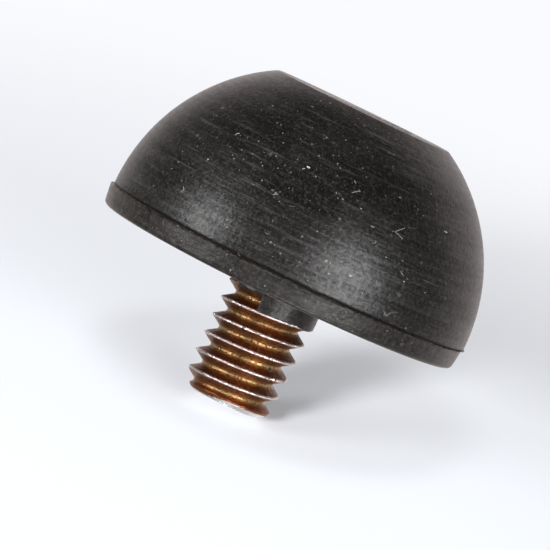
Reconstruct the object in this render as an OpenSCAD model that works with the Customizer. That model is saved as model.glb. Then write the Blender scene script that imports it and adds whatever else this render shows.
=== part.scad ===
// Moulded rubber foot on a threaded steel stud.
// The foot stands on the flat pad of its dome, z = 0, and the stud points up.
// The seat that meets the equipment is the flat underside of the foot, at z = foot_h.
// All sizes are in millimetres and all angles in degrees.

/* [Rubber foot] */
// Diameter of the rim at the parting line
foot_d = 25.4; // [18:0.1:40]
// Height from the pad to the seat
foot_h = 12.7; // [10:0.1:20]
// Diameter of the flat pad that stands on the desk
pad_d = 12.3; // [6:0.1:16]
// Height of the rim band, from the parting line to the seat
rim_h = 1.4; // [0.8:0.1:3]
// How far the rim stands proud of the dome at the parting line
rim_step = 0.05; // [0:0.05:0.5]
// Draft of the rim band towards the seat
rim_draft = 6; // [0:0.5:12]
// Rounding where the dome meets the pad
pad_edge_r = 0.3; // [0.1:0.05:1]
// Rounding where the rim band meets the seat
seat_edge_r = 0.3; // [0.1:0.05:0.6]

/* [Moulding marks] */
// Sideways mismatch of the two mould halves
mould_shift = 0.15; // [0:0.01:0.4]
// Direction in which the rim half is shifted
mould_shift_angle = 150; // [0:5:355]
// Width of the flash fin beyond the dome at the parting line
fin_w = 0.15; // [0.05:0.01:0.4]
// Thickness of the flash fin
fin_t = 0.08; // [0.05:0.01:0.2]
// How far the rubber on the stud stands proud of the thread
collar_skin = 0.08; // [0.04:0.01:0.15]
// Angle at which the rubber on the stud starts
collar_from = -130; // [-180:2:0]
// Angle at which the rubber on the stud ends
collar_to = 72; // [20:2:150]
// How far the lip of rubber round the stud reaches beyond the thread
lip_w = 0.2; // [0.17:0.01:0.6]
// Height of that lip above the seat
lip_h = 0.12; // [0.05:0.01:0.18]

/* [Stud] */
// Major diameter of the thread
thread_d = 6.35; // [5:0.05:8]
// Distance between two thread crests
thread_pitch = 1.27; // [0.8:0.01:1.5]
// Depth of the thread, crest to root
thread_depth = 0.755; // [0.4:0.005:0.78]
// Rounding at the bottom of the thread groove
root_round = 0.18; // [0.05:0.01:0.2]
// Direction in which the crest leaves the seat plane
thread_angle = 235; // [0:1:359]
// Length of the stud beyond the seat
stud_len = 8.4; // [6:0.1:25]
// Length of the plain shank between the seat and the thread
shank_h = 0.2; // [0.2:0.02:0.6]
// Length over which the start of the thread rises to its full depth
run_in = 0.42; // [0.1:0.02:1]
// Length of the taper at the tip
tip_len = 1.3; // [0.5:0.1:2]
// Diameter of the flat end of the tip
tip_d = 5; // [3:0.1:5.5]
// Depth of the small nicks worn into the crest
nick_depth = 0.02; // [0.01:0.005:0.05]

/* [Anchor in the rubber] */
// Diameter of the plain shank between the thread and the head
shank_d = 5.5; // [3:0.1:6]
// Thickness of the rubber between the head and the seat
head_cover = 2.8; // [1.5:0.1:6]
// Diameter of the head that the rubber holds
head_d = 11.1; // [8:0.1:15]
// Thickness of the head
head_t = 1.6; // [0.8:0.1:3]
// Distance across the two flats that stop the head turning
head_flats = 9.5; // [7:0.1:11]

/* [Hidden] */

// Facets round a turned shape, and round one turn of the thread
$fn = 96;
TURN_STEPS = 36;
// One nick is worn into the crest every so many steps
NICK_STEPS = 5;
// Half the angle of the thread's flanks
FLANK = 30;
// Lets a cut or a joined piece reach past the face it meets
REACH = 0.4;
// How far the thread's ridge is made over size before the blank trims it
OVER = 0.03;

parting_z = foot_h - rim_h;
rim_r = foot_d / 2;
dome_edge_r = rim_r - rim_step;
pad_r = pad_d / 2;
// The dome is the sphere through the edge of the pad and the parting line
dome_z = (dome_edge_r ^ 2 + parting_z ^ 2 - pad_r ^ 2) / (2 * parting_z);
dome_r = sqrt(pad_r ^ 2 + dome_z ^ 2);

thread_r = thread_d / 2;
root_r = thread_r - thread_depth;
// Where the round bottom of the groove runs into its straight flank
flank_foot_r = root_r + root_round * (1 - sin(FLANK));
flank_foot_z = root_round * cos(FLANK);

thread_z = foot_h + shank_h;
tip_z = foot_h + stud_len;
head_top = foot_h - head_cover;

// Half the width of the groove at a radius on its flank
function groove_half(r) = flank_foot_z + (r - flank_foot_r) * tan(FLANK);

// Height of the crest line above the seat at an angle, in its lowest turn
function crest_rise(angle) = thread_pitch * (angle - thread_angle) / 360;

// Heights and radii of one pitch of the ridge, from one crest to the next
ridge_r = thread_r + OVER;
PROFILE = concat(
    [[thread_pitch / 2 - groove_half(ridge_r), ridge_r]],
    [for (a = [FLANK - 90 : 40 : 90 - FLANK])
        [thread_pitch / 2 + root_round * sin(a), root_r + root_round * (1 - cos(a))]],
    [[thread_pitch / 2 + groove_half(ridge_r), ridge_r]]
);
ROWS = len(PROFILE);

// A rod with the thread's ridges, too long at both ends and over size at the crest.
// Its surface is a grid that climbs one pitch for each turn.
module threaded_rod(bottom_z, top_z) {
    first_turn = ceil((bottom_z - foot_h - crest_rise(0)) / thread_pitch) - 2;
    turns = floor((top_z - foot_h - crest_rise(0)) / thread_pitch) + 2 - first_turn;
    last = turns * ROWS;

    function at(step, row) = step * (last + 1) + row;
    function turned(step) = (step + 0.5) / TURN_STEPS;
    function crest_step(step, row) = (first_turn + floor((row + 1) / ROWS)) * TURN_STEPS + step;
    function worn(step, row) = crest_step(step, row) % NICK_STEPS == 0;
    function on_crest(row) = row % ROWS == 0 || row % ROWS == ROWS - 1;
    function height(step, row) = foot_h + crest_rise(0) + PROFILE[row % ROWS][0]
        + thread_pitch * (first_turn + floor(row / ROWS) + turned(step));
    function radius(step, row) = on_crest(row) && worn(step, row)
        ? thread_r - nick_depth
        : PROFILE[row % ROWS][1];

    grid = [for (step = [0 : TURN_STEPS - 1], row = [0 : last])
        let (angle = 360 * turned(step), r = radius(step, row))
            [r * cos(angle), r * sin(angle), height(step, row)]];
    low = len(grid);
    high = low + 1;
    end = TURN_STEPS - 1;

    side = [for (step = [0 : end - 1], row = [0 : last - 1])
        each [[at(step, row), at(step, row + 1), at(step + 1, row + 1)],
              [at(step, row), at(step + 1, row + 1), at(step + 1, row)]]];
    // The last step joins the first one, a turn higher
    seam = [for (row = [0 : last - ROWS - 1])
        each [[at(end, row), at(end, row + 1), at(0, row + ROWS + 1)],
              [at(end, row), at(0, row + ROWS + 1), at(0, row + ROWS)]]];
    bottom = concat(
        [for (step = [0 : end - 1]) [low, at(step, 0), at(step + 1, 0)]],
        [[low, at(end, 0), at(0, ROWS)]],
        [for (row = [0 : ROWS - 1]) [low, at(0, row + 1), at(0, row)]]
    );
    top = concat(
        [for (step = [0 : end - 1]) [high, at(step + 1, last), at(step, last)]],
        [[high, at(0, last), at(end, last - ROWS)]],
        [for (row = [last - ROWS : last - 1]) [high, at(end, row), at(end, row + 1)]]
    );
    ends = [[0, 0, height(0, 0) + thread_pitch / 2], [0, 0, height(0, last) + thread_pitch / 2]];
    polyhedron(concat(grid, ends), concat(side, seam, bottom, top));
}

// The turned form that the thread fills, with a taper at its start and at its tip
module thread_blank() {
    rotate_extrude()
        polygon([[0, thread_z], [root_r, thread_z], [thread_r, thread_z + run_in],
                 [thread_r, tip_z - tip_len], [tip_d / 2, tip_z], [0, tip_z]]);
}

module thread(top_z) {
    intersection() {
        threaded_rod(thread_z, top_z);
        thread_blank();
    }
}

// Head and shank, the part of the stud that the rubber is moulded round
module anchor() {
    intersection() {
        translate([0, 0, head_top - head_t])
            cylinder(h = head_t, d = head_d);
        translate([-head_d, -head_flats / 2, head_top - head_t])
            cube([2 * head_d, head_flats, head_t]);
    }
    translate([0, 0, head_top - head_t / 2])
        cylinder(h = thread_z - head_top + head_t / 2, d = shank_d);
    // The core of the shank goes on into the thread
    translate([0, 0, head_top])
        cylinder(h = thread_z - head_top + REACH, r = root_r - REACH);
}

// The stud as far as top_z, or a little more
module stud_up_to(top_z) {
    union() {
        anchor();
        thread(top_z);
    }
}

// Half section of the dome, flat at the pad and rounded at its edge
module dome_section() {
    round_x = sqrt((dome_r - pad_edge_r) ^ 2 - (dome_z - pad_edge_r) ^ 2);
    meet = dome_r / (dome_r - pad_edge_r);
    meet_x = round_x * meet;
    meet_z = dome_z + (pad_edge_r - dome_z) * meet;
    intersection() {
        translate([0, dome_z])
            circle(dome_r);
        translate([0, meet_z])
            square([2 * dome_r, parting_z - meet_z]);
    }
    polygon([[0, 0], [round_x, 0], [round_x, pad_edge_r], [meet_x, meet_z],
             [meet_x, meet_z + REACH], [0, meet_z + REACH]]);
    translate([round_x, pad_edge_r])
        circle(pad_edge_r);
}

// Half section of the rim band, drafted towards the seat
module rim_section() {
    round_z = foot_h - seat_edge_r;
    round_x = rim_r - (round_z - parting_z) * tan(rim_draft) - seat_edge_r / cos(rim_draft);
    polygon([[0, parting_z], [rim_r, parting_z],
             [round_x + seat_edge_r * cos(rim_draft), round_z + seat_edge_r * sin(rim_draft)],
             [round_x, round_z], [round_x, foot_h], [0, foot_h]]);
    translate([round_x, round_z])
        circle(seat_edge_r);
}

// The rubber that crept up the thread, as far as the next crest line
module collar() {
    inner_r = root_r - REACH;
    outer_r = thread_r + collar_skin;
    margin = thread_pitch / 2 - groove_half(thread_r - collar_skin);
    steps = ceil((collar_to - collar_from) / 10);
    crest_turn = ceil((shank_h + run_in - crest_rise(collar_from)) / thread_pitch);

    rings = [for (i = [0 : steps])
        let (angle = collar_from + (collar_to - collar_from) * i / steps,
             top_z = foot_h + crest_rise(angle) + crest_turn * thread_pitch - margin,
             low_z = foot_h - REACH)
            each [for (corner = [[inner_r, low_z], [outer_r, low_z], [outer_r, top_z], [inner_r, top_z]])
                [corner[0] * cos(angle), corner[0] * sin(angle), corner[1]]]];
    walls = [for (i = [0 : steps - 1], k = [0 : 3])
        let (a = 4 * i + k, b = 4 * i + (k + 1) % 4)
            each [[a, b, b + 4], [a, b + 4, a + 4]]];
    last = 4 * steps;
    polyhedron(rings, concat([[3, 2, 1, 0], [last, last + 1, last + 2, last + 3]], walls));
}

module rubber_body() {
    color("#2b2a29")
    difference() {
        union() {
            rotate_extrude()
                dome_section();
            translate([mould_shift * cos(mould_shift_angle), mould_shift * sin(mould_shift_angle), 0])
                rotate_extrude()
                    rim_section();
            translate([0, 0, parting_z - fin_t / 2])
                cylinder(h = fin_t, r = dome_edge_r + fin_w);
            collar();
            translate([0, 0, foot_h - REACH])
                cylinder(h = REACH + lip_h, r = thread_r + lip_w);
        }
        stud_up_to(foot_h + 2 * thread_pitch);
    }
}

module threaded_stud() {
    color("#8a6a3a")
        stud_up_to(tip_z);
}

rubber_body();
threaded_stud();
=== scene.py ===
"""Looks of a moulded rubber foot on a threaded steel stud.

The foot stands on its pad at z = 0 with its stud up. Sizes are in millimetres in the part's own
frame, and turn into metres when a mesh or an object is made.
"""

import math
from types import SimpleNamespace

import bmesh
import bpy
from mathutils import Matrix, Vector, noise


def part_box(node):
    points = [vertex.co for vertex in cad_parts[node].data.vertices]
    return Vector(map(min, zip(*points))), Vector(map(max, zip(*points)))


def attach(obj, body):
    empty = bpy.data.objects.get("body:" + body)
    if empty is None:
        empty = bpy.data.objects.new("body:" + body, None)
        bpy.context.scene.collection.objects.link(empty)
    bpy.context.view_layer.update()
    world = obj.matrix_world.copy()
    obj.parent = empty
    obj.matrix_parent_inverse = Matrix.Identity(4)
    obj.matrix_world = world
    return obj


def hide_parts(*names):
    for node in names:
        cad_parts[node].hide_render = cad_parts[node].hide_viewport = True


MM = 0.001

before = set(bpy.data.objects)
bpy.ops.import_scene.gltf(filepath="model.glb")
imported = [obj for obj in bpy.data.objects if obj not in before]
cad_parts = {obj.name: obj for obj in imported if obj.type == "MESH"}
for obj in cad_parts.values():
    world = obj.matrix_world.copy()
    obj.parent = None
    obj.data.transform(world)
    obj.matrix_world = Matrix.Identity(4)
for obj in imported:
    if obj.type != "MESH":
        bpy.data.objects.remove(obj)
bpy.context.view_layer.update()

# ---------------------------------------------------------------- sizes, in millimetres and degrees

stud_low, stud_high = (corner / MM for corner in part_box("threaded_stud"))
TIP_Z = stud_high.z
HEAD_Z = stud_low.z
HEAD_R = stud_high.x
HEAD_FLAT = stud_high.y

# rubber foot
FOOT_H = 12.7
RIM_R = 12.7
RIM_H = 1.4
RIM_DRAFT = 6.0
DOME_EDGE_R = 12.65
PAD_R = 6.15
PAD_EDGE_R = 0.3
SEAT_EDGE_R = 0.3
MOULD_SHIFT = 0.15
SHIFT_ANGLE = 150.0
LIP_R = 3.375
LIP_H = 0.12
PARTING_Z = FOOT_H - RIM_H
DOME_Z = (DOME_EDGE_R ** 2 + PARTING_Z ** 2 - PAD_R ** 2) / (2 * PARTING_Z)
DOME_R = math.hypot(PAD_R, DOME_Z)

# ragged flash at the parting line, and the crevice under it
DOME_STOP = 0.12
CREVICE_DEPTH = 0.07
CREVICE_ROUGH = 0.04
FLASH_LEAST = 0.02
FLASH_SPREAD = 0.13

# rubber that crept up the thread
COLLAR_FROM = -130.0
COLLAR_TO = 72.0
SKIN_TO = 116.0
COLLAR_SKIN = 0.08
COLLAR_SUNK = 0.3
COLLAR_RISE = 0.22
FULL_TO = 25.0
THIN_END = 34.0

# stud
THREAD_R = 3.175
PITCH = 1.27
THREAD_DEPTH = 0.755
ROOT_R = THREAD_R - THREAD_DEPTH
ROOT_ROUND = 0.18
CREST_HALF = 0.068
CREST_DROP = 0.05
THREAD_ANGLE = 235.0
FLANK = math.radians(30)
SHANK_R = 2.75
SHANK_TOP = FOOT_H + 0.2
RUN_IN = 0.42
TIP_LEN = 1.3
TIP_R = 2.5
HEAD_TOP = FOOT_H - 2.8
TIP_FULL_SIDE = -20.0
TIP_FULLER = 0.26
WORN_SIDE = 25.0

# noise on the surfaces: the height of its bumps, how far apart they are, and a seed
DOME_WAVES = ((0.012, 4.0, 5.0), (0.004, 0.8, 6.0))
RIM_WAVES = ((0.015, 1.6, 8.0), (0.006, 0.35, 9.0))
COLLAR_WAVES = ((0.03, 0.7, 32.0), (0.015, 0.25, 34.0))
THREAD_WAVES = ((0.004, 0.3, 23.0),)

# how finely the meshes are cut
PAD_ROWS = 14
PAD_EDGE_ROWS = 5
DOME_ROWS = 84
RIM_ROWS = 12
SEAT_EDGE_ROWS = 6
SEAT_ROWS = 16
BODY_COLUMNS = 540
TURN_COLUMNS = 360
FLANK_ROWS = 7
ROOT_STEP = 12
SHANK_COLUMNS = 180
COLLAR_COLUMNS = 320

# the larger bits of dust and lint, as strokes placed in the main view: the pixels of their
# two ends, their half width in millimetres and how clear they are
DUST_ON_DOME = (
    ((307.3, 166.6), (309.2, 167.6), 0.06, 0.9),
    ((302.8, 168.9), (304.6, 168.2), 0.04, 0.5),
    ((235.6, 135.2), (236.6, 133.6), 0.035, 0.6),
    ((236.6, 133.6), (239.2, 133.4), 0.04, 0.7),
    ((171.6, 168.6), (172.0, 168.7), 0.04, 0.5),
    ((207.8, 159.2), (208.4, 159.3), 0.042, 0.8),
    ((183.3, 186.8), (184.0, 190.5), 0.035, 0.45),
    ((181.4, 191.4), (184.0, 190.5), 0.03, 0.35),
    ((272.0, 190.0), (273.4, 190.3), 0.07, 0.16),
    ((311.8, 106.6), (313.2, 107.0), 0.045, 0.4),
    ((399.6, 197.4), (400.6, 197.6), 0.05, 0.35),
    ((360.6, 208.6), (361.4, 208.8), 0.042, 0.55),
    ((371.6, 226.4), (373.6, 227.2), 0.055, 0.3),
    ((444.4, 231.4), (447.0, 232.6), 0.055, 0.6),
    ((328.6, 273.6), (329.6, 273.9), 0.045, 0.45),
    ((350.0, 275.6), (351.0, 276.0), 0.05, 0.85),
    ((403.6, 281.6), (404.4, 281.9), 0.048, 0.6),
    ((400.4, 271.4), (403.2, 275.6), 0.03, 0.3),
    ((424.6, 292.4), (425.6, 292.7), 0.045, 0.35),
    ((352.0, 192.6), (360.6, 190.8), 0.033, 0.35),
    ((354.4, 181.0), (356.0, 183.2), 0.035, 0.45),
    ((404.6, 228.2), (395.0, 231.5), 0.033, 0.35),
    ((395.0, 231.5), (402.6, 239.0), 0.033, 0.35),
    ((408.0, 227.7), (417.0, 228.5), 0.02, 0.18),
    ((384.0, 311.5), (386.5, 316.0), 0.03, 0.32),
    ((386.5, 316.0), (391.0, 312.3), 0.03, 0.32),
    ((391.0, 312.3), (398.5, 312.3), 0.024, 0.22),
)
DUST_ON_RIM = (
    ((338.0, 322.0), (334.8, 325.2), 0.035, 0.5),
    ((397.4, 342.4), (398.3, 342.8), 0.045, 0.5),
    ((415.0, 356.0), (416.4, 359.0), 0.028, 0.4),
)
# the band leans in, so the dust on it lies a little inside the rim's own radius
RIM_DUST_R = RIM_R - 0.04
# a lump of dirt in the thread, behind one pixel of that view, and the radii that it spans
DIRT_PIXEL = (270.0, 369.0)
DIRT_FROM_R = 2.45
DIRT_TO_R = 3.15
DIRT_HALF = 0.21

# how the camera stands: the foot's axis leans in its view, with the pad up and to the right
VIEW_ANGLE = 150.0
VIEW_LEAN = 25.739
VIEW_TILT = 3.825
VIEW_DISTANCE = 250.0
PIXELS_PER_MM = 15.27
VIEW_PIXELS = 550
SEAT_PIXEL = (279.427, 285.755)
SENSOR = 36.0

# what the lamps point at, and how far from the foot the table takes on its far looks
LAMP_TARGET = Vector((0.0, 0.0, 8.0))
FAR = 50.0

# ---------------------------------------------------------------- colours: linear red, green, blue

DARK_RUBBER = (0.0020, 0.0018, 0.0017)
CLOUDED_RUBBER = (0.0052, 0.0047, 0.0045)
GREENISH_RUBBER = (0.0050, 0.0055, 0.0036)
DARK_LINE = (0.0016, 0.0015, 0.0014)
PALE_LINE = (0.034, 0.031, 0.030)
PALE_PEBBLE = (0.017, 0.0155, 0.015)
PALE_GRAIN = (0.034, 0.032, 0.031)
DARK_BAND = (0.0036, 0.0031, 0.0028)
PALE_BAND = (0.0155, 0.0137, 0.0128)
BROWN_BAND = (0.0095, 0.0078, 0.0068)
# the parting line's dark colour: painted shade of the crevice under the flash
SEAM_SHADE = (0.0026, 0.0023, 0.0022)
DUST_GREY = (0.25, 0.232, 0.225)
PINK_SHEEN = (1.0, 0.78, 0.72, 1.0)

# the chromate's yellow in the roots, made paler as a painted highlight
YELLOW_ROOT_AND_HIGHLIGHT = (0.47, 0.30, 0.14)
# a lit and a shaded copy of the flanks' chromate: painted light and shade
LIT_BROWN_FLANK = (0.27, 0.11, 0.045)
SHADED_RED_FLANK = (0.19, 0.058, 0.024)
RED_BLOTCH = (0.20, 0.06, 0.02)
YELLOW_STAIN = (0.38, 0.32, 0.18)
GRIME = (0.07, 0.03, 0.015)
RED_TIP_EDGE = (0.26, 0.085, 0.035)
WORN_CREST = (0.80, 0.71, 0.68)
WORN_TIP = (0.86, 0.85, 0.85)
DIRT_BROWN = (0.015, 0.012, 0.010)

TABLE_TINT = Vector((0.99, 1.02, 1.08))
TABLE_OWN_LIGHT = (0.925, 0.94, 0.98, 1.0)
BACKDROP_WHITE = (0.955, 0.965, 1.0, 1.0)
ROOM_BELOW = (0.08, 0.08, 0.08)
ROOM_LEVEL = (0.40, 0.395, 0.395)
ROOM_ABOVE = (0.34, 0.34, 0.35)
ROOM_BESIDE = (0.12, 0.12, 0.12)
ROOM_BEHIND = (0.96, 0.89, 0.88)

# ---------------------------------------------------------------- mesh helpers


def wobble(x, y, z, scale, seed):
    """Smooth noise from -1 to 1 at a point in millimetres; scale is the size of its bumps."""
    return noise.noise(Vector((x / scale + seed, y / scale - seed, z / scale + 3.1 * seed)))


def ring_wobble(angle, scale, seed, radius=RIM_R):
    """Noise round a circle, with no seam; scale is the size of its bumps along the circle."""
    return wobble(radius * math.cos(angle), radius * math.sin(angle), 7.3 * seed, scale, seed)


def waves_at(x, y, z, waves):
    """The sum of several noises at a point, in millimetres."""
    return sum(height * wobble(x, y, z, scale, seed) for height, scale, seed in waves)


def ramp(value, low, high):
    """0 below low, 1 above high, smooth between."""
    t = min(1.0, max(0.0, (value - low) / (high - low)))
    return t * t * (3 - 2 * t)


def arc(centre, radius, start, end, steps):
    """Points on an arc in the (r, z) plane, from one angle to another in degrees."""
    points = []
    for i in range(steps + 1):
        a = math.radians(start + (end - start) * i / steps)
        points.append((centre[0] + radius * math.cos(a), centre[1] + radius * math.sin(a)))
    return points


def line(start, end, steps):
    """Points on a line in the (r, z) plane, without its last one."""
    return [
        (start[0] + (end[0] - start[0]) * i / steps, start[1] + (end[1] - start[1]) * i / steps)
        for i in range(steps)
    ]


def outward(angle):
    """The direction away from the foot's axis, at an angle in radians."""
    return Vector((math.cos(angle), math.sin(angle), 0.0))


def meridian(points, angle):
    """Points (r, z) as points (x, y, z) at an angle round the axis."""
    direction = outward(angle)
    return [direction * r + Vector((0.0, 0.0, z)) for r, z in points]


def finish_mesh(mesh_data, name, material, sharp_angle=50.0):
    """A bmesh in millimetres becomes a shaded object in metres, sharp only at its real edges."""
    bmesh.ops.scale(mesh_data, vec=(MM, MM, MM), verts=mesh_data.verts)
    bmesh.ops.recalc_face_normals(mesh_data, faces=mesh_data.faces)
    for face in mesh_data.faces:
        face.smooth = True
    for edge in mesh_data.edges:
        if len(edge.link_faces) == 2:
            edge.smooth = edge.calc_face_angle(0.0) < math.radians(sharp_angle)
    mesh = bpy.data.meshes.new(name)
    mesh_data.to_mesh(mesh)
    mesh_data.free()
    mesh.materials.append(material)
    piece = bpy.data.objects.new(name, mesh)
    bpy.context.scene.collection.objects.link(piece)
    return piece


def turned_mesh(section, columns):
    """A closed surface swept round +Z. section(angle) gives points (x, y, z) from axis to axis."""
    made = bmesh.new()
    rings = []
    for i in range(columns):
        points = section(2 * math.pi * i / columns)
        rings.append([made.verts.new(p) for p in points[1:-1]])
    first = made.verts.new(points[0])
    last = made.verts.new(points[-1])
    for i, ring in enumerate(rings):
        beside = rings[(i + 1) % columns]
        made.faces.new((first, ring[0], beside[0]))
        for a, b, c, d in zip(ring, ring[1:], beside[1:], beside):
            made.faces.new((a, b, c, d))
        made.faces.new((ring[-1], last, beside[-1]))
    return made


# ---------------------------------------------------------------- rubber body


def head_radius(angle):
    """Radius of the stud's head, which has two flats."""
    across = abs(math.sin(angle))
    return min(HEAD_R, HEAD_FLAT / across) if across > 1e-6 else HEAD_R


def flash_reach(angle):
    """How far the ragged flash at the parting line stands beyond the dome."""
    long_waves = ring_wobble(angle, 2.6, 1.0)
    tears = ring_wobble(angle, 0.42, 2.0)
    return FLASH_LEAST + FLASH_SPREAD * max(0.0, 0.35 + 0.55 * long_waves + 0.6 * tears)


def seam_rough(angle):
    """How uneven the edges at the parting line are."""
    return 0.05 * ring_wobble(angle, 0.5, 3.0)


def seam_height(angle):
    """The parting line wanders a little up and down."""
    return PARTING_Z + 0.03 * ring_wobble(angle, 1.4, 4.0) + 0.4 * seam_rough(angle)


def lower_mould(angle):
    """The pad, the dome and the flash, as points (r, z)."""
    round_x = math.sqrt((DOME_R - PAD_EDGE_R) ** 2 - (DOME_Z - PAD_EDGE_R) ** 2)
    round_end = math.degrees(math.atan2(PAD_EDGE_R - DOME_Z, round_x))
    pad = line((0.0, 0.0), (round_x, 0.0), PAD_ROWS)
    pad_edge = arc((round_x, PAD_EDGE_R), PAD_EDGE_R, -90.0, round_end, PAD_EDGE_ROWS)

    seam_z = seam_height(angle)
    direction = outward(angle)
    start = math.radians(round_end)
    end = math.asin((seam_z - DOME_STOP - DOME_Z) / DOME_R)
    dome = []
    for i in range(1, DOME_ROWS + 1):
        a = start + (end - start) * i / DOME_ROWS
        r, z = DOME_R * math.cos(a), DOME_Z + DOME_R * math.sin(a)
        swell = waves_at(r * direction.x, r * direction.y, z, DOME_WAVES)
        dome.append((r + swell * math.cos(a), z + swell * math.sin(a)))

    reach = flash_reach(angle)
    crevice_r = DOME_EDGE_R - CREVICE_DEPTH - CREVICE_ROUGH * abs(ring_wobble(angle, 0.7, 7.0))
    flash = [
        (DOME_EDGE_R - 0.02, seam_z - 0.07),
        (crevice_r, seam_z - 0.04),
        (DOME_EDGE_R + 0.5 * reach, seam_z - 0.035),
        (DOME_EDGE_R + reach, seam_z - 0.02),
        (DOME_EDGE_R + reach, seam_z + 0.01),
    ]
    return pad + pad_edge + dome + flash


def upper_mould(angle):
    """The rim band, its rounded edge and the seat, as points (r, z)."""
    draft = math.radians(RIM_DRAFT)
    round_z = FOOT_H - SEAT_EDGE_R
    round_r = RIM_R - (round_z - PARTING_Z) * math.tan(draft) - SEAT_EDGE_R / math.cos(draft)
    rim_start = (RIM_R + 0.3 * seam_rough(angle), seam_height(angle) + 0.04)
    rim_end = (round_r + SEAT_EDGE_R * math.cos(draft), round_z + SEAT_EDGE_R * math.sin(draft))
    direction = outward(angle)
    rim = [
        (r + waves_at(r * direction.x, r * direction.y, z, RIM_WAVES), z)
        for r, z in line(rim_start, rim_end, RIM_ROWS)
    ]
    edge = arc((round_r, round_z), SEAT_EDGE_R, RIM_DRAFT, 90.0, SEAT_EDGE_ROWS)
    seat = [
        (r, z - 0.01 * abs(wobble(r * direction.x, r * direction.y, z, 1.2, 10.0)))
        for r, z in line((round_r, FOOT_H), (LIP_R + 0.6, FOOT_H), SEAT_ROWS)[1:]
    ]
    return rim + edge + seat


def lip_and_socket(angle):
    """The low lip round the stud, and the hidden rubber against the stud, as points (r, z)."""
    lip_r = LIP_R + 0.03 * ring_wobble(angle, 0.8, 11.0, LIP_R)
    lip_z = FOOT_H + LIP_H + 0.02 * ring_wobble(angle, 0.9, 12.0, LIP_R)
    return [
        (LIP_R + 0.2, FOOT_H), (lip_r, FOOT_H), (lip_r - 0.03, lip_z - 0.02), (lip_r - 0.1, lip_z),
        (SHANK_R + 0.1, lip_z), (SHANK_R, lip_z - 0.03), (SHANK_R, HEAD_TOP),
        (head_radius(angle), HEAD_TOP), (head_radius(angle), HEAD_Z), (0.0, HEAD_Z),
    ]


def body_section(angle):
    """One meridian of the rubber, from the pad's centre round to the bottom of the stud's head."""
    shift = outward(math.radians(SHIFT_ANGLE)) * MOULD_SHIFT
    upper = [point + shift for point in meridian(upper_mould(angle), angle)]
    return meridian(lower_mould(angle), angle) + upper + meridian(lip_and_socket(angle), angle)


def make_body(material):
    return finish_mesh(turned_mesh(body_section, BODY_COLUMNS), "rubber_moulding", material)


# ---------------------------------------------------------------- thread and stud

# where the rounded root of the thread meets its flank
ROOT_END_R = ROOT_R + ROOT_ROUND * (1 - math.sin(FLANK))


def crest_z(angle, turn):
    """Height of the crest's centre line at an angle in degrees, in the turn with that number."""
    return FOOT_H + PITCH * ((angle - THREAD_ANGLE) / 360 + turn)


def ridge_profile():
    """(rise, radius) over one pitch, from the middle of a crest to just before the next one."""
    middle = PITCH / 2
    shoulder_r = THREAD_R - CREST_DROP
    points = [
        (0.0, THREAD_R - 0.006), (0.018, THREAD_R), (0.036, THREAD_R - 0.006),
        (CREST_HALF, shoulder_r),
    ]
    root_rise = middle - ROOT_ROUND * math.cos(FLANK)
    for i in range(1, FLANK_ROWS):
        share = i / FLANK_ROWS
        points.append((
            CREST_HALF + (root_rise - CREST_HALF) * share,
            shoulder_r + (ROOT_END_R - shoulder_r) * share,
        ))
    one_side = points[1:]
    sweep = round(90 - math.degrees(FLANK))
    for a in range(-sweep, sweep + 1, ROOT_STEP):
        bend = math.radians(a)
        points.append((
            middle + ROOT_ROUND * math.sin(bend), ROOT_R + ROOT_ROUND * (1 - math.cos(bend)),
        ))
    return points + [(PITCH - rise, radius) for rise, radius in reversed(one_side)]


def blank_radius(angle, z):
    """Largest radius of the stud, with a taper at the seat and an uneven one at the tip."""
    start = ROOT_R + THREAD_DEPTH * (z - SHANK_TOP) / RUN_IN
    full_side = TIP_FULLER * max(0.0, math.cos(angle - math.radians(TIP_FULL_SIDE)))
    end = TIP_R + (THREAD_R - TIP_R) * (TIP_Z - z) / TIP_LEN
    return max(0.5, min(start, end + full_side * ramp(TIP_Z - z, 0.02, 0.3)))


def crest_wear(angle, z):
    """How much of the crest is nicked or rubbed away."""
    x, y = THREAD_R * math.cos(angle), THREAD_R * math.sin(angle)
    rubbed = abs(wobble(x, y, z, 0.9, 20.0))
    nick = max(0.0, wobble(x, y, z, 0.14, 21.0) - 0.1)
    small_nick = max(0.0, wobble(x, y, z, 0.07, 25.0))
    dent = max(0.0, wobble(x, y, z, 0.5, 22.0) - 0.38)
    return 0.02 * rubbed + 0.14 * (nick + 0.5 * small_nick) + 0.14 * dent


def thread_point(degrees, turn, rise, radius):
    """A point of the thread's grid, worn along the crest and trimmed to the blank."""
    angle = math.radians(degrees)
    z = crest_z(degrees, turn) + rise
    x, y = radius * math.cos(angle), radius * math.sin(angle)
    near_crest = ramp(1.0 - (THREAD_R - radius) / THREAD_DEPTH, 0.8, 1.0)
    wear = crest_wear(angle, crest_z(degrees, turn if rise < PITCH / 2 else turn + 1))
    r = radius - wear * near_crest + waves_at(x, y, z, THREAD_WAVES)
    limit = blank_radius(angle, z)
    if r > limit:
        r = limit - 0.02 * abs(wobble(x, y, z, 0.35, 24.0))
    return r * math.cos(angle), r * math.sin(angle), z


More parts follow.
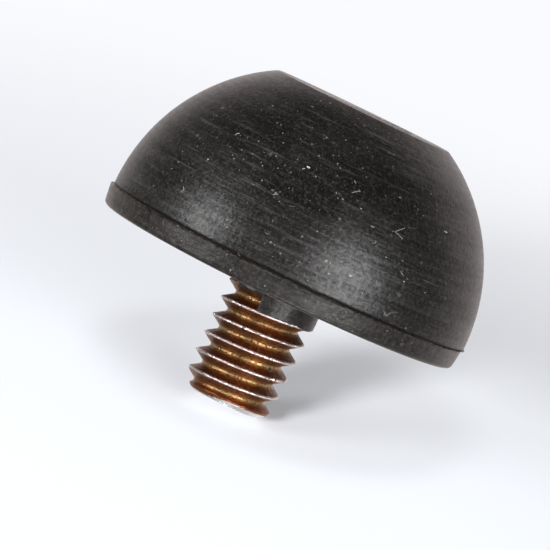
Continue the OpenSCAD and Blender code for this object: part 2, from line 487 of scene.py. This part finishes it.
def make_thread(material):
    """One grid that climbs a pitch in each turn, cut off level above the seat and at the tip."""
    profile = ridge_profile()
    turns = range(-2, math.ceil((TIP_Z - FOOT_H) / PITCH) + 3)
    made = bmesh.new()
    rings = []
    for i in range(TURN_COLUMNS):
        degrees = 360.0 * i / TURN_COLUMNS
        rings.append([
            made.verts.new(thread_point(degrees, turn, rise, radius))
            for turn in turns for rise, radius in profile
        ])
    for i, ring in enumerate(rings):
        # the last column meets the first one a pitch further up
        climb = len(profile) if i == TURN_COLUMNS - 1 else 0
        beside = rings[(i + 1) % TURN_COLUMNS][climb:]
        for a, b, c, d in zip(ring, beside, beside[1:], ring[1:]):
            made.faces.new((a, b, c, d))
    for height, outwards in ((SHANK_TOP, -1.0), (TIP_Z, 1.0)):
        bmesh.ops.bisect_plane(
            made, geom=made.verts[:] + made.edges[:] + made.faces[:], dist=1e-6,
            plane_co=(0, 0, height), plane_no=(0, 0, outwards), clear_outer=True,
        )
    bmesh.ops.delete(made, geom=[v for v in made.verts if not v.link_faces], context="VERTS")
    bmesh.ops.holes_fill(made, edges=[e for e in made.edges if e.is_boundary], sides=0)
    return finish_mesh(made, "thread", material, 40.0)


def shank_section(angle):
    head = head_radius(angle)
    return meridian([
        (0.0, HEAD_Z), (head, HEAD_Z), (head, HEAD_TOP), (SHANK_R, HEAD_TOP), (SHANK_R, SHANK_TOP),
        (0.0, SHANK_TOP),
    ], angle)


def make_shank(material):
    return finish_mesh(turned_mesh(shank_section, SHANK_COLUMNS), "shank_and_head", material)


# ---------------------------------------------------------------- rubber on the thread

# the rows of the crept rubber, from its foot inside the thread, up its skin and back in over its
# top: what each row lies on, and how far up
COLLAR_ROWS = (
    [("inside", 0.0)]
    + [("skin", height) for height in (0.0, 0.2, 0.4, 0.55, 0.7, 0.8, 0.88, 0.94, 0.98)]
    + [("edge", 1.0), ("brink", 1.0), ("inside", 1.0)]
)


def collar_top(degrees):
    """Height of the rubber on the thread, round from its thin end.

    It reaches the second crest, then only covers the first one, and dies away after that.
    """
    ragged = (
        0.05 * wobble(degrees / 5.0, 0.0, 0.0, 1.0, 33.0)
        + 0.04 * wobble(degrees / 13.0, 0.0, 0.0, 1.0, 35.0)
    )
    second = crest_z(degrees, 2) - CREST_HALF + COLLAR_RISE * ramp(FULL_TO - degrees, 0.0, 30.0)
    first = crest_z(degrees, 1) + 0.2 + 0.6 * ragged
    seat = FOOT_H - 0.05
    top = second + (first - second) * ramp(degrees, COLLAR_TO - 2.0, COLLAR_TO + 3.0)
    risen = ramp(degrees, COLLAR_FROM, COLLAR_FROM + THIN_END)
    top = seat + (top - seat) * (0.12 + 0.88 * risen) + (1.0 - risen) * 2.0 * ragged
    return top + (seat - top) * ramp(degrees, SKIN_TO - 10.0, SKIN_TO + 2.0)


def collar_point(share, row, height):
    """A point of the crept rubber, whose two ends are torn; share is how far round it is."""
    torn = (
        2.2 * wobble(height * 1.7, 0.0, 0.0, 0.35, 30.0)
        + 1.2 * wobble(height * 1.7, 0.0, 0.0, 0.12, 31.0)
    )
    degrees = COLLAR_FROM + torn + (SKIN_TO - COLLAR_FROM - 0.5 * torn) * share
    angle = math.radians(degrees)
    low = FOOT_H - COLLAR_SUNK
    z = low + (collar_top(degrees) - low) * height
    outer = THREAD_R + COLLAR_SKIN
    bumps = waves_at(outer * math.cos(angle), outer * math.sin(angle), z, COLLAR_WAVES)
    skin = outer - 0.05 * (1 - ramp(share, 0.0, 0.015)) + bumps
    # past the collar the rubber thins out down the flank of the first crest
    thinned = ramp(degrees, COLLAR_TO - 1.0, COLLAR_TO + 6.0)
    over_crest = max(0.0, z - crest_z(degrees, 1) - CREST_HALF)
    skin -= thinned * (0.03 + 1.5 * over_crest)
    edge = skin - 0.06 * (1 - thinned)
    brink = min(edge, THREAD_R - CREST_DROP) - 0.02
    radius = {"inside": ROOT_R - 0.15, "skin": skin, "edge": edge, "brink": brink}[row]
    return radius * math.cos(angle), radius * math.sin(angle), z


def make_collar(material):
    """The rubber that crept up the thread, ragged where it ends."""
    made = bmesh.new()
    rings = [
        [made.verts.new(collar_point(i / COLLAR_COLUMNS, *row)) for row in COLLAR_ROWS]
        for i in range(COLLAR_COLUMNS + 1)
    ]
    for ring, beside in zip(rings, rings[1:]):
        for a, b, c, d in zip(ring, ring[1:] + ring[:1], beside[1:] + beside[:1], beside):
            made.faces.new((a, b, c, d))
    made.faces.new(rings[0])
    made.faces.new(list(reversed(rings[-1])))
    return finish_mesh(made, "crept_rubber", material)


# ---------------------------------------------------------------- node helpers

# the colour sockets of a Mix node, where several share a name
MIX_FIRST = 6
MIX_SECOND = 7
MIX_RESULT = 2


def add(tree, kind, inputs=None, **settings):
    """A new node: settings go on the node, inputs on its sockets, as values or as links."""
    item = tree.nodes.new(kind)
    for key, value in settings.items():
        setattr(item, key, value)
    for key, value in (inputs or {}).items():
        if isinstance(value, bpy.types.NodeSocket):
            tree.links.new(value, item.inputs[key])
        else:
            item.inputs[key].default_value = value
    return item


def math_node(tree, operation, a, b=0.0, clamp=False):
    return add(tree, "ShaderNodeMath", {0: a, 1: b}, operation=operation, use_clamp=clamp).outputs[0]


def plus(tree, a, b):
    return math_node(tree, "ADD", a, b)


def minus(tree, a, b):
    return math_node(tree, "SUBTRACT", a, b)


def times(tree, a, b):
    return math_node(tree, "MULTIPLY", a, b)


def most(tree, a, b):
    return math_node(tree, "MAXIMUM", a, b)


def mix(tree, share, first, second):
    """A mix of two numbers; share is that of the second."""
    return plus(tree, times(tree, first, 1 - share), times(tree, second, share))


def vector_node(tree, operation, a, b):
    """A vector made from two others."""
    return add(tree, "ShaderNodeVectorMath", {0: a, 1: b}, operation=operation).outputs["Vector"]


def vector_number(tree, operation, a, b=(0.0, 0.0, 0.0)):
    """A number made from one vector or two, such as a distance."""
    return add(tree, "ShaderNodeVectorMath", {0: a, 1: b}, operation=operation).outputs["Value"]


def scaled(tree, vector, factor):
    """A vector times a number."""
    made = add(tree, "ShaderNodeVectorMath", {0: vector, "Scale": factor}, operation="SCALE")
    return made.outputs["Vector"]


def height_of(tree, vector):
    return add(tree, "ShaderNodeSeparateXYZ", {"Vector": vector}).outputs["Z"]


def span(tree, value, low, high, to_low=0.0, to_high=1.0):
    """value mapped smoothly from one range to another."""
    made = add(
        tree, "ShaderNodeMapRange",
        {"Value": value, "From Min": low, "From Max": high, "To Min": to_low, "To Max": to_high},
        interpolation_type="SMOOTHSTEP",
    )
    return made.outputs["Result"]


def span_mm(tree, value, low, high, to_low=0.0, to_high=1.0):
    """The same for a length, between two lengths in millimetres."""
    return span(tree, value, low * MM, high * MM, to_low, to_high)


def inside_edge(tree, distance, inner, outer):
    """1 up to the inner distance, falling straight to 0 at the outer one."""
    made = add(
        tree, "ShaderNodeMapRange",
        {"Value": distance, "From Min": inner, "From Max": outer, "To Min": 1.0, "To Max": 0.0},
    )
    return made.outputs["Result"]


def blend_colour(tree, share, first, second):
    """first where share is 0, second where it is 1."""
    ends = [c if isinstance(c, bpy.types.NodeSocket) else (*c, 1.0) for c in (first, second)]
    made = add(
        tree, "ShaderNodeMix", {"Factor": share, MIX_FIRST: ends[0], MIX_SECOND: ends[1]},
        data_type="RGBA",
    )
    return made.outputs[MIX_RESULT]


def layered(tree, colour, layers):
    """A colour with others laid over it in turn, each as (mask, colour)."""
    for mask, over in layers:
        colour = blend_colour(tree, mask, colour, over)
    return colour


def noise_value(tree, vector, scale, detail, roughness=0.5):
    """Noise with scale bumps a metre."""
    made = add(
        tree, "ShaderNodeTexNoise",
        {"Vector": vector, "Scale": scale, "Detail": detail, "Roughness": roughness},
    )
    return made.outputs["Fac"]


def noise_colour(tree, vector, scale, detail):
    """Noise in three channels, for pushing places about."""
    made = add(tree, "ShaderNodeTexNoise", {"Vector": vector, "Scale": scale, "Detail": detail})
    return made.outputs["Color"]


def round_the_axis(tree, vector, squeeze):
    """Places squeezed across the axis, so that noise on them becomes lines round it."""
    scale = (squeeze, squeeze, 1.0)
    return add(tree, "ShaderNodeMapping", {"Vector": vector, "Scale": scale}).outputs["Vector"]


def random_cells(tree, vector, scale):
    """Random cells: the distance to a cell's middle, and a node with random numbers for the cell."""
    cells = add(tree, "ShaderNodeTexVoronoi", {"Vector": vector, "Scale": scale})
    numbers = add(tree, "ShaderNodeSeparateColor", {"Color": cells.outputs["Color"]})
    return cells.outputs["Distance"], numbers


def new_material(name):
    material = bpy.data.materials.new(name)
    material.use_nodes = True
    material.node_tree.nodes.clear()
    return material, material.node_tree


def new_mask_group(name, **numbers):
    """A node group with a Vector, numbers with their usual values, and one output, Mask."""
    group = bpy.data.node_groups.new(name, "ShaderNodeTree")
    group.interface.new_socket(name="Vector", in_out="INPUT", socket_type="NodeSocketVector")
    for socket, value in numbers.items():
        made = group.interface.new_socket(
            name=socket, in_out="INPUT", socket_type="NodeSocketFloat",
        )
        made.default_value = value
    group.interface.new_socket(name="Mask", in_out="OUTPUT", socket_type="NodeSocketFloat")
    return group, group.nodes.new("NodeGroupInput")


def group_mask(tree, group, **inputs):
    """The mask that a group makes of these inputs."""
    return add(tree, "ShaderNodeGroup", inputs, node_tree=group).outputs["Mask"]


def specks_group():
    """Scattered specks: Mask is 1 on a speck. Size is its radius as a share of the cell."""
    group, entry = new_mask_group("specks", Scale=1000.0, Size=0.1, Amount=0.5)
    where, scale = entry.outputs["Vector"], entry.outputs["Scale"]
    bent = noise_colour(group, where, times(group, scale, 3.5), 1.0)
    push = scaled(group, bent, math_node(group, "DIVIDE", 0.25, scale))
    distance, chance = random_cells(group, vector_node(group, "ADD", where, push), scale)
    kept = math_node(group, "LESS_THAN", chance.outputs["Red"], entry.outputs["Amount"])
    own_size = times(group, chance.outputs["Green"], entry.outputs["Size"])
    spot = inside_edge(group, distance, times(group, own_size, 0.6), own_size)
    add(group, "NodeGroupOutput", {"Mask": times(group, spot, kept)})
    return group


def lint_group():
    """Short curly hairs: Mask is 1 on a hair. Amount is the share of cells that hold one."""
    group, entry = new_mask_group("lint", Scale=1000.0, Amount=0.1)
    where, scale = entry.outputs["Vector"], entry.outputs["Scale"]
    distance, chance = random_cells(group, where, scale)
    kept = math_node(group, "LESS_THAN", chance.outputs["Blue"], entry.outputs["Amount"])
    near = span(group, distance, 0.34, 0.24)
    waves = noise_value(group, where, times(group, scale, 1.7), 0.0)
    off_line = math_node(group, "ABSOLUTE", minus(group, waves, 0.5))
    hair = span(group, off_line, 0.022, 0.008)
    add(group, "NodeGroupOutput", {"Mask": times(group, times(group, hair, near), kept)})
    return group


def mark_group():
    """One stroke of dust or dirt between two chosen points: Mask is 1 inside it."""
    group, entry = new_mask_group("mark", Size=0.1 * MM)
    for end in ("Start", "End"):
        group.interface.new_socket(name=end, in_out="INPUT", socket_type="NodeSocketVector")
    start, size = entry.outputs["Start"], entry.outputs["Size"]
    along = vector_node(group, "SUBTRACT", entry.outputs["End"], start)
    reach = vector_node(group, "SUBTRACT", entry.outputs["Vector"], start)
    top = vector_number(group, "DOT_PRODUCT", reach, along)
    full = vector_number(group, "DOT_PRODUCT", along, along)
    share = math_node(group, "DIVIDE", top, full, clamp=True)
    apart = vector_number(group, "DISTANCE", reach, scaled(group, along, share))
    mask = inside_edge(group, apart, times(group, size, 0.5), size)
    add(group, "NodeGroupOutput", {"Mask": mask})
    return group


def marks_mask(tree, mark, vector, strokes):
    """A mask of strokes at chosen places, each with an uneven edge."""
    bent = vector_node(tree, "ADD", noise_colour(tree, vector, 14000.0, 1.0), (-0.5, -0.5, -0.5))
    uneven = vector_node(tree, "ADD", vector, scaled(tree, bent, 0.1 * MM))
    everything = 0.0
    for start, end, half_width, clear in strokes:
        stroke = group_mask(
            tree, mark, Vector=uneven, Start=[c * MM for c in start], End=[c * MM for c in end],
            Size=half_width * MM,
        )
        everything = most(tree, times(tree, stroke, clear), everything)
    return everything


# ---------------------------------------------------------------- black rubber


def rubber_noises(tree, where):
    """The noises that the rubber's looks are made of. The lines run round the mould."""
    round_mould = round_the_axis(tree, where, 0.045)

    def rough_noise(vector, scale, detail):
        return noise_value(tree, vector, scale, detail, 0.6)

    return SimpleNamespace(
        lines=rough_noise(round_mould, 7000.0, 3.0),
        wide_lines=rough_noise(round_mould, 1600.0, 2.0),
        cloud=rough_noise(where, 230.0, 4.0),
        tint=rough_noise(where, 420.0, 3.0),
        grain=rough_noise(where, 9500.0, 2.0),
        pebble=rough_noise(where, 4200.0, 2.0),
        bloom=rough_noise(where, 2600.0, 3.0),
    )


def rim_and_seam_shade(tree, height, noises):
    """Masks of the rim band above the parting line and of the ragged line itself, whose darkness is
    painted shade of the crevice under the flash.
    """
    ragged = times(tree, minus(tree, mix(tree, 0.3, noises.bloom, noises.grain), 0.5), 0.4 * MM)
    level = plus(tree, height, ragged)
    rim = span_mm(tree, height, PARTING_Z, PARTING_Z + 0.1)
    seam = times(
        tree,
        span_mm(tree, level, PARTING_Z - 0.25, PARTING_Z - 0.14),
        span_mm(tree, level, PARTING_Z + 0.10, PARTING_Z + 0.02),
    )
    return rim, seam


def rubber_colour(tree, noises, rim, seam):
    """Near black, with pale lines and grain, a browner rim band and a parting line darkened as
    painted shade.
    """
    body = layered(tree, DARK_RUBBER, (
        (span(tree, noises.cloud, 0.35, 0.7), CLOUDED_RUBBER),
        (span(tree, noises.tint, 0.55, 0.75, 0.0, 0.4), GREENISH_RUBBER),
        (span(tree, noises.wide_lines, 0.54, 0.36, 0.0, 0.6), DARK_LINE),
        (span(tree, noises.lines, 0.56, 0.8, 0.0, 0.55), PALE_LINE),
        (span(tree, noises.pebble, 0.52, 0.72, 0.0, 0.45), PALE_PEBBLE),
        (span(tree, noises.grain, 0.55, 0.76, 0.0, 0.6), PALE_GRAIN),
    ))
    band = layered(tree, DARK_BAND, (
        (span(tree, mix(tree, 0.65, noises.bloom, noises.grain), 0.47, 0.63), PALE_BAND),
        (span(tree, noises.tint, 0.45, 0.62, 0.0, 0.5), BROWN_BAND),
    ))
    return layered(tree, body, ((rim, band), (seam, SEAM_SHADE)))


def rubber_dust(tree, where, specks, lint, mark):
    """Scattered specks and hairs, and the strokes that are placed one by one."""

    def scattered(scale, size, amount):
        return group_mask(tree, specks, Vector=where, Scale=scale, Size=size, Amount=amount)

    big = scattered(420.0, 0.045, 0.05)
    small = scattered(1700.0, 0.13, 0.11)
    tiny = scattered(3600.0, 0.26, 0.3)
    rings = scattered(1250.0, 0.28, 0.16)
    hairs = group_mask(tree, lint, Vector=where, Scale=1300.0, Amount=0.07)
    faint = most(tree, times(tree, tiny, 0.26), times(tree, rings, 0.08))
    clear = most(tree, times(tree, most(tree, big, small), 0.32), times(tree, hairs, 0.24))
    return most(tree, most(tree, clear, faint), marks_mask(tree, mark, where, dust_strokes()))


def rubber_material(specks, lint, mark):
    """Dull black rubber with lines from the mould, pale bloom, dust and a parting line darkened and
    dulled as painted shade.
    """
    material, tree = new_material("black_rubber")
    where = add(tree, "ShaderNodeTexCoord").outputs["Object"]
    noises = rubber_noises(tree, where)
    rim, seam = rim_and_seam_shade(tree, height_of(tree, where), noises)
    dust = rubber_dust(tree, where, specks, lint, mark)
    colour = blend_colour(tree, dust, rubber_colour(tree, noises, rim, seam), DUST_GREY)

    rough = plus(tree, span(tree, noises.lines, 0.3, 0.8, 0.31, 0.42), times(tree, rim, 0.03))
    rough = plus(tree, rough, times(tree, dust, 0.3))
    all_lines = mix(tree, 0.5, noises.lines, noises.wide_lines)
    patchy = mix(tree, 0.5, mix(tree, 0.5, noises.pebble, noises.bloom), all_lines)
    shine = plus(tree, span(tree, patchy, 0.38, 0.62, 0.14, 0.46), times(tree, rim, 0.07))
    # the parting line is also less glossy, as part of the same painted shade
    gloss = times(tree, minus(tree, 1.0, times(tree, seam, 0.72)), shine)
    fine = mix(tree, 0.55, noises.pebble, mix(tree, 0.5, noises.grain, noises.bloom))
    relief = mix(tree, 0.72, all_lines, fine)
    bump = add(tree, "ShaderNodeBump", {"Strength": 0.8, "Distance": 0.06 * MM, "Height": relief})
    shader = add(
        tree, "ShaderNodeBsdfPrincipled",
        {"Base Color": colour, "Roughness": rough, "Normal": bump.outputs["Normal"],
         "Specular IOR Level": gloss, "Sheen Weight": 0.04, "Sheen Roughness": 0.35,
         "Sheen Tint": PINK_SHEEN},
    )
    add(tree, "ShaderNodeOutputMaterial", {"Surface": shader.outputs["BSDF"]})
    return material


# ---------------------------------------------------------------- chromated steel


def steel_noises(tree, where):
    """The noises that the steel's looks are made of."""
    return SimpleNamespace(
        blotch=noise_value(tree, where, 900.0, 4.0),
        stain=noise_value(tree, where, 2600.0, 3.0),
        grain=noise_value(tree, where, 6500.0, 3.0),
        drawn=noise_value(tree, round_the_axis(tree, where, 0.12), 6000.0, 2.0),
    )


def chromate_colour(tree, noises, radius, level):
    """Yellow-brown in the roots, made paler there as a painted highlight, and red-brown on the
    flanks, darker and redder on those that face the seat as painted shade.
    """
    up = height_of(tree, add(tree, "ShaderNodeNewGeometry").outputs["True Normal"])
    # flanks that face the seat take the shaded red, those that face the tip the lit brown: painted
    # shade by which way they face
    side = blend_colour(tree, span(tree, up, 0.2, -0.3), LIT_BROWN_FLANK, SHADED_RED_FLANK)
    tip_edge = times(tree, span_mm(tree, level, TIP_Z - 0.75, TIP_Z - 0.55), 0.7)
    return layered(tree, YELLOW_ROOT_AND_HIGHLIGHT, (
        (span_mm(tree, radius, ROOT_R + 0.03, ROOT_R + 0.3), side),
        (span(tree, noises.blotch, 0.48, 0.7, 0.0, 0.5), RED_BLOTCH),
        (span(tree, noises.stain, 0.56, 0.7, 0.0, 0.5), YELLOW_STAIN),
        (span(tree, noises.grain, 0.52, 0.38, 0.0, 0.75), GRIME),
        (tip_edge, RED_TIP_EDGE),
    ))


def bare_metal(tree, where, noises, radius, height, level):
    """Masks of the worn crest, and of the tip, which is deepest on the side that was rubbed."""
    crest = span_mm(tree, radius, THREAD_R - 0.13, THREAD_R - 0.08)
    crest = times(tree, crest, span(tree, noises.stain, 0.66, 0.54, 0.45, 1.0))
    # near the seat the crest keeps more of its chromate: painted shade of the rim over the first
    # turn
    crest = times(tree, crest, span_mm(tree, height, FOOT_H + 1.15, FOOT_H + 1.45, 0.15, 1.0))
    sideways = vector_number(tree, "DOT_PRODUCT", where, outward(math.radians(WORN_SIDE)))
    deep = span_mm(tree, sideways, 0.8, 2.7, 0.05 * MM, 0.32 * MM)
    tip = span_mm(tree, plus(tree, level, deep), TIP_Z - 0.03, TIP_Z + 0.03)
    return crest, tip


def stud_material(specks, mark):
    """Steel under a thin yellow-brown chromate, worn bright along the crest and at the tip."""
    material, tree = new_material("chromated_steel")
    where = add(tree, "ShaderNodeTexCoord").outputs["Object"]
    noises = steel_noises(tree, where)
    ragged = times(tree, minus(tree, noises.grain, 0.5), 0.10 * MM)
    height = height_of(tree, where)
    level = plus(tree, height, ragged)
    across = vector_node(tree, "MULTIPLY", where, (1.0, 1.0, 0.0))
    radius = plus(tree, vector_number(tree, "LENGTH", across), ragged)
    crest, tip = bare_metal(tree, where, noises, radius, height, level)
    bare = most(tree, crest, tip)
    dirt = most(
        tree,
        group_mask(tree, specks, Vector=where, Scale=1300.0, Size=0.2, Amount=0.05),
        marks_mask(tree, mark, where, [dirt_stroke()]),
    )
    colour = layered(
        tree, chromate_colour(tree, noises, radius, level),
        ((bare, WORN_CREST), (tip, WORN_TIP), (dirt, DIRT_BROWN)),
    )
    rough = minus(tree, span(tree, noises.blotch, 0.3, 0.8, 0.36, 0.46), times(tree, bare, 0.06))
    lift = plus(tree, plus(tree, noises.grain, noises.stain), times(tree, noises.drawn, 0.8))
    strength = span(tree, tip, 0.0, 1.0, 1.0, 0.5)
    bump = add(tree, "ShaderNodeBump", {"Strength": strength, "Distance": 0.06 * MM, "Height": lift})
    shader = add(
        tree, "ShaderNodeBsdfPrincipled",
        {"Base Color": colour, "Metallic": minus(tree, 1.0, dirt), "Roughness": rough,
         "Normal": bump.outputs["Normal"]},
    )
    add(tree, "ShaderNodeOutputMaterial", {"Surface": shader.outputs["BSDF"]})
    return material


# ---------------------------------------------------------------- camera and places in its view


def from_middle(pixel):
    """How far a pixel is to the right of the view's middle and below it, at the seat's distance."""
    return [(along - VIEW_PIXELS / 2) / PIXELS_PER_MM for along in pixel]


def camera_axes():
    """The camera's right, down and forward in the part's frame, and where it stands."""
    lean, tilt, turn = (math.radians(a) for a in (VIEW_LEAN, VIEW_TILT, VIEW_ANGLE))
    # the foot's axis towards its pad, and two directions across it, as the camera sees them
    to_pad = Vector((
        math.cos(tilt) * math.sin(lean), -math.cos(tilt) * math.cos(lean), -math.sin(tilt),
    ))
    across = Vector((math.cos(lean), math.sin(lean), 0.0))
    seen = Matrix((across, to_pad.cross(across), to_pad)).transposed()
    # the same three in the part's own frame
    part_across = -outward(turn)
    part_away = Vector((-math.sin(turn), math.cos(turn), 0.0))
    own = Matrix((part_across, part_away, Vector((0.0, 0.0, -1.0)))).transposed()
    turn_to_part = own @ seen.transposed()
    seat = Vector((*from_middle(SEAT_PIXEL), VIEW_DISTANCE))
    place = Vector((0.0, 0.0, FOOT_H)) - turn_to_part @ seat
    return turn_to_part.col[0], turn_to_part.col[1], turn_to_part.col[2], place


def seen_at(pixel, radius, sphere_z=None):
    """The point that the camera sees at a pixel, on a sphere centred at sphere_z on the foot's axis.

    With no sphere_z it is a point on a cylinder round that axis.
    """
    right, down, forward, place = camera_axes()
    to_right, to_down = from_middle(pixel)
    sight = right * to_right + down * to_down + forward * VIEW_DISTANCE
    # height plays no part in how far a point is from a cylinder's axis
    counted = Vector((1.0, 1.0, 0.0 if sphere_z is None else 1.0))
    start = (place - Vector((0.0, 0.0, sphere_z or 0.0))) * counted
    step = sight * counted
    square, half, rest = step.dot(step), start.dot(step), start.dot(start) - radius ** 2
    return place - sight * (half + math.sqrt(half ** 2 - square * rest)) / square


def dust_strokes():
    """The strokes of dust on the rubber, with their ends as points in millimetres."""
    on_dome = [
        (seen_at(start, DOME_R, DOME_Z), seen_at(end, DOME_R, DOME_Z), half_width, clear)
        for start, end, half_width, clear in DUST_ON_DOME
    ]
    on_rim = [
        (seen_at(start, RIM_DUST_R), seen_at(end, RIM_DUST_R), half_width, clear)
        for start, end, half_width, clear in DUST_ON_RIM
    ]
    return on_dome + on_rim


def dirt_stroke():
    """The lump of dirt in the thread, along the line of sight."""
    return seen_at(DIRT_PIXEL, DIRT_FROM_R), seen_at(DIRT_PIXEL, DIRT_TO_R), DIRT_HALF, 1.0


def make_camera():
    right, down, forward, place = camera_axes()
    data = bpy.data.cameras.new("camera")
    data.sensor_width = SENSOR
    data.lens = SENSOR * PIXELS_PER_MM * VIEW_DISTANCE / VIEW_PIXELS
    data.clip_start = 0.01
    data.clip_end = 10.0
    camera = bpy.data.objects.new("camera", data)
    turn = Matrix((right, -down, -forward)).transposed().to_4x4()
    camera.matrix_world = Matrix.Translation(place * MM) @ turn
    bpy.context.scene.collection.objects.link(camera)
    bpy.context.scene.camera = camera


# ---------------------------------------------------------------- lights and stage


def make_lamp(name, azimuth, elevation, distance, size, watts, in_gloss=True):
    """A round softbox that faces the foot. Azimuth runs to the right from the camera."""
    right, down, forward, _ = camera_axes()
    a, e = math.radians(azimuth), math.radians(elevation)
    direction = math.cos(e) * (math.sin(a) * right - math.cos(a) * forward) - math.sin(e) * down
    data = bpy.data.lights.new(name, "AREA")
    data.shape = "DISK"
    data.size = size * MM
    data.energy = watts
    lamp = bpy.data.objects.new(name, data)
    lamp.location = (LAMP_TARGET + direction * distance) * MM
    lamp.rotation_mode = "QUATERNION"
    lamp.rotation_quaternion = (-direction).to_track_quat("-Z", "Y")
    lamp.visible_glossy = in_gloss
    bpy.context.scene.collection.objects.link(lamp)


def make_world():
    """White for the camera, and a room that the foot reflects: palest behind it, darkest below."""
    world = bpy.data.worlds.new("studio")
    bpy.context.scene.world = world
    world.use_nodes = True
    tree = world.node_tree
    tree.nodes.clear()
    direction = add(tree, "ShaderNodeTexCoord").outputs["Generated"]
    rise = height_of(tree, direction)
    right, _, forward, _ = camera_axes()
    behind = forward + 0.32 * right
    away = vector_number(tree, "DOT_PRODUCT", direction, behind)
    sideways = math_node(tree, "ABSOLUTE", vector_number(tree, "DOT_PRODUCT", direction, right))
    light = layered(tree, ROOM_BELOW, (
        (span(tree, rise, -0.7, 0.2), ROOM_LEVEL),
        (span(tree, rise, 0.35, 0.9), ROOM_ABOVE),
        (span(tree, sideways, 0.75, 0.98, 0.0, 0.6), ROOM_BESIDE),
        (span(tree, away, 0.25, 0.9), ROOM_BEHIND),
    ))
    backdrop = add(tree, "ShaderNodeBackground", {"Color": BACKDROP_WHITE, "Strength": 1.0})
    room = add(tree, "ShaderNodeBackground", {"Color": light, "Strength": 1.0})
    seen = add(tree, "ShaderNodeLightPath").outputs["Is Camera Ray"]
    both = add(tree, "ShaderNodeMixShader", {0: seen, 1: room.outputs[0], 2: backdrop.outputs[0]})
    add(tree, "ShaderNodeOutputWorld", {"Surface": both.outputs[0]})


def floor_material(centre, clear_from, clear_to, pale, glow):
    """White, a little greyer by the foot as painted shade, and clear from behind and far from the
    foot.

    pale is how pale it is, and glow the share of its light that is its own. Both are given by the
    foot and at FAR from it.
    """
    material, tree = new_material("white_table")
    geometry = add(tree, "ShaderNodeNewGeometry")
    distance = vector_number(tree, "DISTANCE", geometry.outputs["Position"], centre)
    gone = span_mm(tree, distance, clear_from, clear_to)
    clear = most(tree, gone, geometry.outputs["Backfacing"])
    away = span_mm(tree, distance, 0.0, FAR)
    # by the foot the paper is greyer and has less light of its own, so its shadows there are deeper:
    # painted shade
    paper_with_painted_shade = blend_colour(tree, away, pale[0] * TABLE_TINT, pale[1] * TABLE_TINT)
    own_share = plus(tree, times(tree, away, glow[1] - glow[0]), glow[0])
    lit = add(tree, "ShaderNodeBsdfDiffuse", {"Color": paper_with_painted_shade})
    own = add(tree, "ShaderNodeEmission", {"Color": TABLE_OWN_LIGHT, "Strength": 1.0})
    white = add(tree, "ShaderNodeMixShader", {0: own_share, 1: lit.outputs[0], 2: own.outputs[0]})
    through = add(tree, "ShaderNodeBsdfTransparent")
    mixed = add(tree, "ShaderNodeMixShader", {0: clear, 1: white.outputs[0], 2: through.outputs[0]})
    add(tree, "ShaderNodeOutputMaterial", {"Surface": mixed.outputs[0]})
    return material


def make_floor(name, touch, normal, reach, **looks):
    """A one-sided table top through a point, seen by the camera and by nothing else."""
    made = bmesh.new()
    bmesh.ops.create_grid(made, x_segments=1, y_segments=1, size=reach * MM)
    mesh = bpy.data.meshes.new(name)
    made.to_mesh(mesh)
    made.free()
    floor = bpy.data.objects.new(name, mesh)
    floor.location = Vector(touch) * MM
    mesh.materials.append(floor_material(Vector(touch) * MM, **looks))
    floor.rotation_mode = "QUATERNION"
    floor.rotation_quaternion = Vector(normal).to_track_quat("Z", "Y")
    floor.visible_diffuse = False
    floor.visible_glossy = False
    floor.visible_transmission = False
    floor.visible_shadow = False
    bpy.context.scene.collection.objects.link(floor)


# ---------------------------------------------------------------- the scene

bpy.context.scene.view_settings.view_transform = "Standard"
make_camera()
make_world()
make_lamp("lamp_left", azimuth=-54, elevation=21, distance=300, size=120, watts=0.56)
make_lamp("lamp_right", azimuth=31.5, elevation=-10.5, distance=300, size=190, watts=1.03)
make_lamp("lamp_soft", azimuth=-25, elevation=5, distance=600, size=140, watts=10, in_gloss=False)
make_lamp("lamp_top", azimuth=5, elevation=48, distance=300, size=90, watts=0.24, in_gloss=False)
make_lamp("lamp_below", azimuth=-12, elevation=-58, distance=400, size=200, watts=0.7)

speck_mask = specks_group()
mark_mask = mark_group()
rubber = rubber_material(speck_mask, lint_group(), mark_mask)
steel = stud_material(speck_mask, mark_mask)

moulding = make_body(rubber)
collar = make_collar(rubber)
thread = make_thread(steel)
shank = make_shank(steel)
for piece, node, slot in (
    (moulding, "rubber_body", "rubber"),
    (collar, "rubber_body", "rubber"),
    (thread, "threaded_stud", "stud_steel"),
    (shank, "threaded_stud", "stud_steel"),
):
    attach(piece, "root")
    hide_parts(node)

# a level table that the foot stands on, and one under its tip for the main view, where it lies
make_floor(
    "table", touch=(0.0, 0.0, 0.0), normal=(0.0, 0.0, 1.0), reach=400.0,
    clear_from=60.0, clear_to=200.0, pale=(0.84, 0.88), glow=(0.60, 0.66),
)
make_floor(
    "leaning_table", touch=(0.0, -TIP_R, TIP_Z), normal=(0.0, 0.29, -0.957), reach=120.0,
    clear_from=35.0, clear_to=90.0, pale=(0.60, 0.555), glow=(0.12, 0.56),
)
